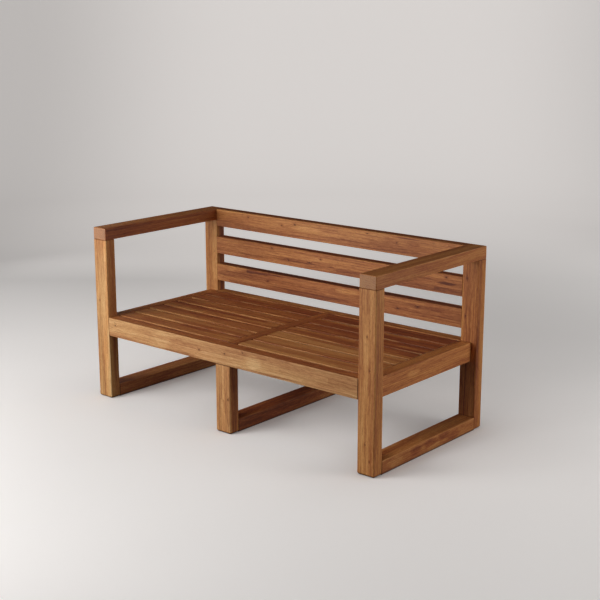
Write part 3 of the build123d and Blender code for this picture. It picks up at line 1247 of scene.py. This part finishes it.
@dataclass
class SeatFrame(Joinery):
    """The seat rails all round, and the centre rail, legs and runner under the middle."""

    def long_rail(self, end_name: str) -> Piece:
        """Shape the front or the back seat rail."""
        end, plan = ENDS[end_name], self.plan
        joints = [plan.long_joint(side, end) for side in SIDES.values()]
        rail = plan.tenoned(f"{end_name}_seat_rail", Run.X, plan.rail_tenon, joints)
        plan.mortise(rail, plan.cross_joint(0, end), plan.leg_joint(end))
        return rail

    def cross_rail(self, name: str, x: float, cleats: list[str]) -> Piece:
        """Shape a seat rail that runs from front to back, drilled for its cleats' screws."""
        joints = [self.plan.cross_joint(x, end) for end in ENDS.values()]
        rail = self.plan.tenoned(name, Run.Y, self.plan.side_tenon, joints)
        drill(rail, [SCREWS.bores(SCREWS.cleat_seats(cleat), SCREWS.cleat_length) for cleat in cleats])
        return rail

    def leg(self, end_name: str) -> Piece:
        """Shape one centre leg."""
        end, plan = ENDS[end_name], self.plan
        leg = plan.upright(f"centre_{end_name}_leg", plan.rail_bottom)
        plan.leg_joint(end).add_tenon(leg, plan.tenon_chamfer)
        plan.mortise(leg, plan.runner_joint(0, end))
        return leg

    def build(self) -> None:
        """Make, dress and hand over every piece of the seat's frame."""
        plan = self.plan
        for end_name in ENDS:
            deliver(self.long_rail(end_name), Run.X, self.finish)
            deliver(self.leg(end_name), Run.Z, self.finish)
        joints = [plan.runner_joint(0, end) for end in ENDS.values()]
        for board in (
            self.cross_rail("left_side_rail", -plan.side_rail_x, ["left_outer_cleat"]),
            self.cross_rail("right_side_rail", plan.side_rail_x, ["right_outer_cleat"]),
            self.cross_rail("centre_seat_rail", 0, ["left_inner_cleat", "right_inner_cleat"]),
            plan.tenoned("centre_runner", Run.Y, plan.side_tenon, joints),
        ):
            deliver(board, Run.Y, self.finish)


@dataclass
class BackRails(Joinery):
    """The three rails between the back posts, from the top down."""

    def build(self) -> None:
        """Make, dress and hand over the rails. The top one is drilled for its dowels too."""
        plan = self.plan
        for index, level in enumerate(("top", "middle", "lower")):
            joints = [plan.back_joint(side, index) for side in SIDES.values()]
            rail = plan.tenoned(f"{level}_back_rail", Run.X, plan.rail_tenon, joints)
            if index == 0:
                drill(rail, [DOWELS.cutter(plan, side) for side in SIDES.values()])
            deliver(rail, Run.X, self.finish)


@dataclass
class SeatDeck:
    """Two panels of slats and the cleats that carry their ends."""

    slat_finish: TimberFinish = TimberFinish("slat_wood")
    cleat_finish: TimberFinish = TimberFinish("cleat_wood", stave_width=0.06)
    slat_arris: float = 0.0025
    slat_arris_steps: int = 3
    slat_end_arris: float = 0.0006
    cleat_chamfer: float = 0.004
    cleat_arris: float = 0.0006
    cleat_arris_steps: int = 2
    # Slat tones from front to back: the front slats painted paler where the light falls, the back ones
    # painted darker in the shade of the back rails
    slat_tones: tuple[float, ...] = (0.26, 0.17, 0.20, 0.05, -0.02, -0.04, -0.13)
    # How strongly the painted shade along the slats' back edges shows, on the left and on the right
    slat_grime: tuple[float, ...] = (0.5, 0.8)

    def slat(self, side_name: str, number: int) -> Piece:
        """Shape one slat and drill it from below."""
        node = f"{side_name}_slat_{number}"
        slat = board_between(node, Run.X)
        ease(slat, self.slat_arris, self.slat_arris_steps, lengthwise(Run.X))
        low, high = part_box(node)
        ease(slat, self.slat_end_arris, 1, flush_with(Run.X, low.x, high.x))
        cleats = [f"{side_name}_{place}_cleat" for place in ("outer", "inner")]
        seats = [SCREWS.slat_seats(cleat)[number - 1] for cleat in cleats]
        drill(slat, [SCREWS.bores(seats, SCREWS.slat_length)])
        return slat

    def cleat(self, name: str) -> Piece:
        """Shape one cleat, chamfered along its lower free edge and drilled both ways."""
        cleat = board_between(name, Run.Y)
        low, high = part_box(name)
        out = flush_with(Run.X, high.x if SCREWS.away(name) > 0 else low.x)
        ease(cleat, self.cleat_chamfer, 1, both(out, flush_with(Run.Z, low.z)))
        ease(cleat, self.cleat_arris, self.cleat_arris_steps, both(out, flush_with(Run.Z, high.z)))
        slat_bores = SCREWS.bores(SCREWS.slat_seats(name), SCREWS.slat_length)
        cleat_bores = SCREWS.bores(SCREWS.cleat_seats(name), SCREWS.cleat_length)
        drill(cleat, [slat_bores, cleat_bores])
        return cleat

    def build(self) -> None:
        """Make, dress and hand over the cleats and the slats."""
        for turn, name in enumerate(CLEATS):
            board = Character(31.1 + 1.7 * turn, -0.02, 0.8, 0.6, 0.2)
            deliver(self.cleat(name), Run.Y, self.cleat_finish, board)
        for turn, (side_name, gap_shade) in enumerate(zip(SIDES, self.slat_grime)):
            for number, tone in enumerate(self.slat_tones, 1):
                seed = 41.3 + 11.9 * turn + 1.37 * number
                board = Character(
                    seed, tone, 1.8, 0.34, 0.9, slope=0.03, red=0.4, wear=0.1, gap_shade=gap_shade
                )
                deliver(self.slat(side_name, number), Run.X, self.slat_finish, board)


@dataclass
class Hardware:
    """The countersunk screws and the fluted dowels."""

    finish: ScrewFinish = ScrewFinish()
    dowel_finish: TimberFinish = TimberFinish(
        "dowel_wood",
        stops=((0.0, srgb(176, 136, 92)), (0.5, srgb(206, 170, 124)), (1.0, srgb(226, 196, 152))),
        stave_width=0.05,
    )
    sides: int = 16
    plain_share: float = 0.3
    threads: int = 9
    thread_depth: float = 0.0005
    recess: float = 0.0046
    recess_arm: float = 0.0010
    recess_depth: float = 0.0013
    recess_taper: float = 0.6

    def screw(self, length: float) -> Piece:
        """Turn one countersunk screw that stands on its head, threaded and with a cross recess."""
        screw = tapered(self.sides, SCREWS.head, SCREWS.shank)
        top = SCREWS.head - SCREWS.shank
        plain = (length - SCREWS.point - top) * self.plain_share
        pitch = (length - SCREWS.point - top - plain) / self.threads
        root = (SCREWS.shank - self.thread_depth) / SCREWS.shank
        turns = [(pitch / 2, root), (pitch / 2, 1 / root)] * self.threads
        pick(screw, Element.FACE, pointing(UP))
        for rise, width in [(plain, 1.0), *turns, (SCREWS.point, SCREWS.tip / SCREWS.shank)]:
            top += rise
            extrude(UP * rise)
            widen(width, width, UP * top)
        put_down()
        self.cut_recess(screw)
        return screw

    def cut_recess(self, screw: Piece) -> None:
        """Mark the cross out on the head and sink it, a little narrower towards its floor."""
        marks = [(way, self.recess_arm) for way in (ALONG_X, ALONG_Y)]
        marks += [(way, self.recess) for way in (ALONG_X, ALONG_Y)]
        for way, size in marks:
            for sign in (-1, 1):
                score(screw, pointing(-UP), way * sign * size / 2, way)

        def in_cross(centre: Vector, normal: Vector) -> bool:
            near, far = sorted((abs(centre.x), abs(centre.y)))
            return -normal.z > ALIGNED and near < self.recess_arm / 2 and far < self.recess / 2

        pick(screw, Element.FACE, in_cross)
        extrude(UP * self.recess_depth)
        widen(self.recess_taper, self.recess_taper, ORIGIN)
        put_down()

    def dowels(self) -> Piece:
        """Turn the two fluted dowels and put them in their holes."""
        length = DOWELS.in_arm + DOWELS.in_rail
        clear_bench()
        bpy.ops.mesh.primitive_cylinder_add(
            vertices=2 * DOWELS.flutes, radius=DOWELS.radius, depth=length, location=(0, 0, length / 2)
        )
        dowel = settled()
        step = math.pi / DOWELS.flutes

        def groove(a: Vector, b: Vector) -> bool:
            turn = round(math.atan2(a.y, a.x) / step)
            return abs((b - a).z) > SHORTEST_RUN and turn % 2 == 0

        pick(dowel, Element.EDGE, groove)
        widen(1 - DOWELS.flute_depth, 1 - DOWELS.flute_depth, ORIGIN)
        put_down()
        ease(dowel, DOWELS.chamfer, 1, flush_with(Run.Z, 0, length))
        low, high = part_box("arm_dowels")
        middle = (low + high) / 2
        seats = [
            (Vector((low.x, middle.y, middle.z)), ALONG_X),
            (Vector((high.x, middle.y, middle.z)), -ALONG_X),
        ]
        return placed_copies(dowel, "arm_dowels_timber", seats)

    def build(self) -> None:
        """Make, dress and hand over the screws and the dowels."""
        for side_name in SIDES:
            cleats = [f"{side_name}_{place}_cleat" for place in ("outer", "inner")]
            for kind, length, seats_in in (
                ("slat", SCREWS.slat_length, SCREWS.slat_seats),
                ("cleat", SCREWS.cleat_length, SCREWS.cleat_seats),
            ):
                node = f"{side_name}_{kind}_screws"
                seats = [seat for cleat in cleats for seat in seats_in(cleat)]
                screws = placed_copies(self.screw(length), f"{node}_zinc", seats)
                smooth(screws)
                screws.data.materials.append(self.finish.material(node))
                present(screws, self.finish.slot, node)
        deliver(self.dowels(), Run.X, self.dowel_finish, Character(61.7))


@dataclass(frozen=True)
class Softbox:
    """A square area light: where it hangs, its side in metres and its watts."""

    name: str
    place: Triple
    side: float
    watts: float

    def hang(self, target: Vector) -> None:
        """Hang the light and aim it at a point. It doesn't show in the picture."""
        light = bpy.data.lights.new(self.name, "AREA")
        light.size = self.side
        light.energy = self.watts
        lamp = bpy.data.objects.new(self.name, light)
        bpy.context.scene.collection.objects.link(lamp)
        lamp.location = self.place
        lamp.rotation_euler = (target - Vector(self.place)).to_track_quat("-Z", "Y").to_euler()
        lamp.visible_camera = False


@dataclass(frozen=True)
class DimSpot:
    """A part of the floor that is darker, to balance a light that hangs close above it."""

    place: Triple
    near: float
    far: float
    least: float


@dataclass
class Studio:
    """The pale floor, the soft lights and the camera."""

    camera_place: Triple = (2.9444, -3.3790, 1.5435)
    camera_turn: Triple = (76.27, 0.0, 40.19)
    lens: float = 71.69
    sensor: float = 36.0
    aim: Triple = (0.0, 0.0, 0.35)
    floor_radius: float = 5.6
    floor_sides: int = 128
    cove_radius: float = 1.6
    cove_steps: int = 12
    wall_height: float = 5.0
    glow_tint: Triple = (1.0, 0.95, 0.92)
    far_glow: float = 0.58
    left_glow: Levels = (
        (0.0, 0.23), (0.012, 0.16), (0.03, 0.12), (0.055, 0.11), (0.09, 0.135), (0.14, 0.18),
        (0.205, 0.245), (0.30, 0.29), (0.42, 0.265), (0.57, 0.225), (0.67, 0.38), (0.80, 0.475),
        (1.0, 0.58),
    )
    middle_glow: Levels = (
        (0.0, 0.215), (0.08, 0.23), (0.18, 0.24), (0.235, 0.285), (0.38, 0.31), (0.55, 0.33),
        (0.67, 0.43), (1.0, 0.58),
    )
    right_glow: Levels = (
        (0.0, 0.255), (0.028, 0.27), (0.053, 0.29), (0.086, 0.305), (0.14, 0.305), (0.205, 0.245),
        (0.30, 0.21), (0.42, 0.21), (0.57, 0.25), (0.67, 0.33), (0.84, 0.48), (1.0, 0.58),
    )
    # How far the painted shadow round the sofa reaches
    painted_shadow: float = 0.35
    floor_paint: Paint = (0.88, 0.852, 0.831, 1.0)
    floor_bounce: Paint = (0.28, 0.272, 0.266, 1.0)
    dim_spots: tuple[DimSpot, ...] = (
        DimSpot((-1.7, -2.3, 0.0), 0.4, 1.7, 0.48),
        DimSpot((3.3, 0.6, 0.0), 0.5, 2.2, 0.30),
    )
    softboxes: tuple[Softbox, ...] = (
        Softbox("key_left", (-1.6, -2.2, 0.8), 1.2, 31.0),
        Softbox("key_front", (-0.9, -2.4, 1.5), 1.0, 22.0),
        Softbox("fill_above_front", (0.0, -2.5, 2.8), 2.5, 25.0),
        Softbox("side_right", (3.4, 0.8, 0.7), 1.4, 33.0),
        Softbox("side_right_back", (3.5, 2.0, 1.5), 2.0, 14.0),
        Softbox("side_left_back", (-3.0, 0.6, 1.2), 1.6, 4.5),
        Softbox("back", (0.8, 3.6, 1.5), 1.6, 13.0),
    )

    def floor(self) -> Piece:
        """Shape a round floor that curves up into a wall all round."""
        clear_bench()
        bpy.ops.mesh.primitive_circle_add(
            vertices=self.floor_sides, radius=self.floor_radius, fill_type="NGON"
        )
        floor = bpy.context.object
        floor.name = "studio_floor"
        bpy.ops.object.mode_set(mode="EDIT")
        bpy.ops.mesh.select_mode(type="EDGE")
        bpy.ops.mesh.select_all(action="SELECT")
        bpy.ops.mesh.region_to_loop()
        rings = []
        for step in range(1, self.cove_steps + 1):
            turn = math.radians(90 * step / self.cove_steps)
            wider = self.floor_radius + self.cove_radius * math.sin(turn)
            rings.append((wider, self.cove_radius * (1 - math.cos(turn))))
        rings.append((rings[-1][0], self.wall_height))
        reach, height = self.floor_radius, 0.0
        for wider, higher in rings:
            extrude(UP * (higher - height))
            widen(wider / reach, wider / reach)
            reach, height = wider, higher
        put_down()
        bpy.ops.object.shade_smooth()
        return floor

    def glow(self, r: Recipe, coordinates: Signal) -> Signal:
        """How brightly the floor and wall shine at the camera, as the photograph's backdrop.

        Args:
            r: The floor's recipe.
            coordinates: The place on the floor.

        Returns:
            The strength: less close to the sofa, as its painted shadow.
        """
        x, y, _ = r.split(coordinates)
        behind = x * -0.645 + y * 0.764
        beside = x * 0.764 + y * 0.645
        away = r.rising(behind, -1.5, 5.5)
        left, middle, right = (
            r.ramp(away, [(place, (level, level, level, 1.0)) for place, level in stops])
            for stops in (self.left_glow, self.middle_glow, self.right_glow)
        )
        level = r.mix(r.rising(beside, -1.1, 0.0), left, middle)
        level = r.mix(r.rising(beside, 0.0, 1.2), level, right)
        aside = r.rising(abs(beside - 0.6), 0.5, 3.1)
        shade = r.rising(behind, 1.5, 2.6) * aside ** 2.0
        # Painted shadow: the glow fades close to the sofa
        painted_shadow = r.read("AmbientOcclusion", {"Distance": self.painted_shadow}, "AO")
        return level * (shade * -0.30 + 1.0) * painted_shadow ** 1.3

    def set_floor(self) -> None:
        """Lay the floor and paint it: one look for the camera, another for the light it sends back."""
        floor = self.floor()
        r = Recipe("studio_floor_paint")
        coordinates = r.read("TexCoord", {}, "Object")
        level = self.glow(r, coordinates)
        shown: Value = self.floor_paint
        for dim in self.dim_spots:
            spot = r.rising(r.distance(coordinates, dim.place), dim.near, dim.far)
            dark = (*(dim.least * part for part in self.floor_paint[:3]), 1.0)
            shown = r.mix(spot, dark, shown)
            level *= spot * (1 - dim.least) + dim.least
        camera = r.read("LightPath", {}, "Is Camera Ray")
        paint = r.read("BsdfDiffuse", {"Color": r.mix(camera, self.floor_bounce, shown)})
        shine = r.read("Emission", {"Color": (*self.glow_tint, 1.0), "Strength": level * camera})
        floor.data.materials.append(r.closed(r.read("AddShader", {0: paint, 1: shine})))

    def set_world(self) -> None:
        """Show the far background's colour to the camera and add no light."""
        world = bpy.data.worlds.new("studio_air")
        bpy.context.scene.world = world
        world.use_nodes = True
        nodes, links = world.node_tree.nodes, world.node_tree.links
        air = nodes["Background"]
        air.inputs["Color"].default_value = (*(self.far_glow * part for part in self.glow_tint), 1)
        path = nodes.new("ShaderNodeLightPath")
        links.new(path.outputs["Is Camera Ray"], air.inputs["Strength"])

    def set_camera(self) -> None:
        """Place the camera as the photograph's, and make it the scene's."""
        data = bpy.data.cameras.new("photo_view")
        data.lens = self.lens
        data.sensor_width = self.sensor
        camera = bpy.data.objects.new("photo_view", data)
        bpy.context.scene.collection.objects.link(camera)
        camera.location = self.camera_place
        camera.rotation_euler = [math.radians(angle) for angle in self.camera_turn]
        bpy.context.scene.camera = camera

    def build(self) -> None:
        """Set the whole studio up."""
        bpy.context.scene.view_settings.view_transform = "Standard"
        self.set_camera()
        self.set_floor()
        self.set_world()
        for softbox in self.softboxes:
            softbox.hang(Vector(self.aim))


def main() -> None:
    """Set up the studio, then build every sub-assembly in order."""
    logging.basicConfig(level=logging.INFO, format="%(message)s")
    Studio().build()
    for assembly in (SideFrames(), SeatFrame(), BackRails(), SeatDeck(), Hardware()):
        log.info("building %s", type(assembly).__name__)
        assembly.build()


if __name__ == "__main__":
    main()
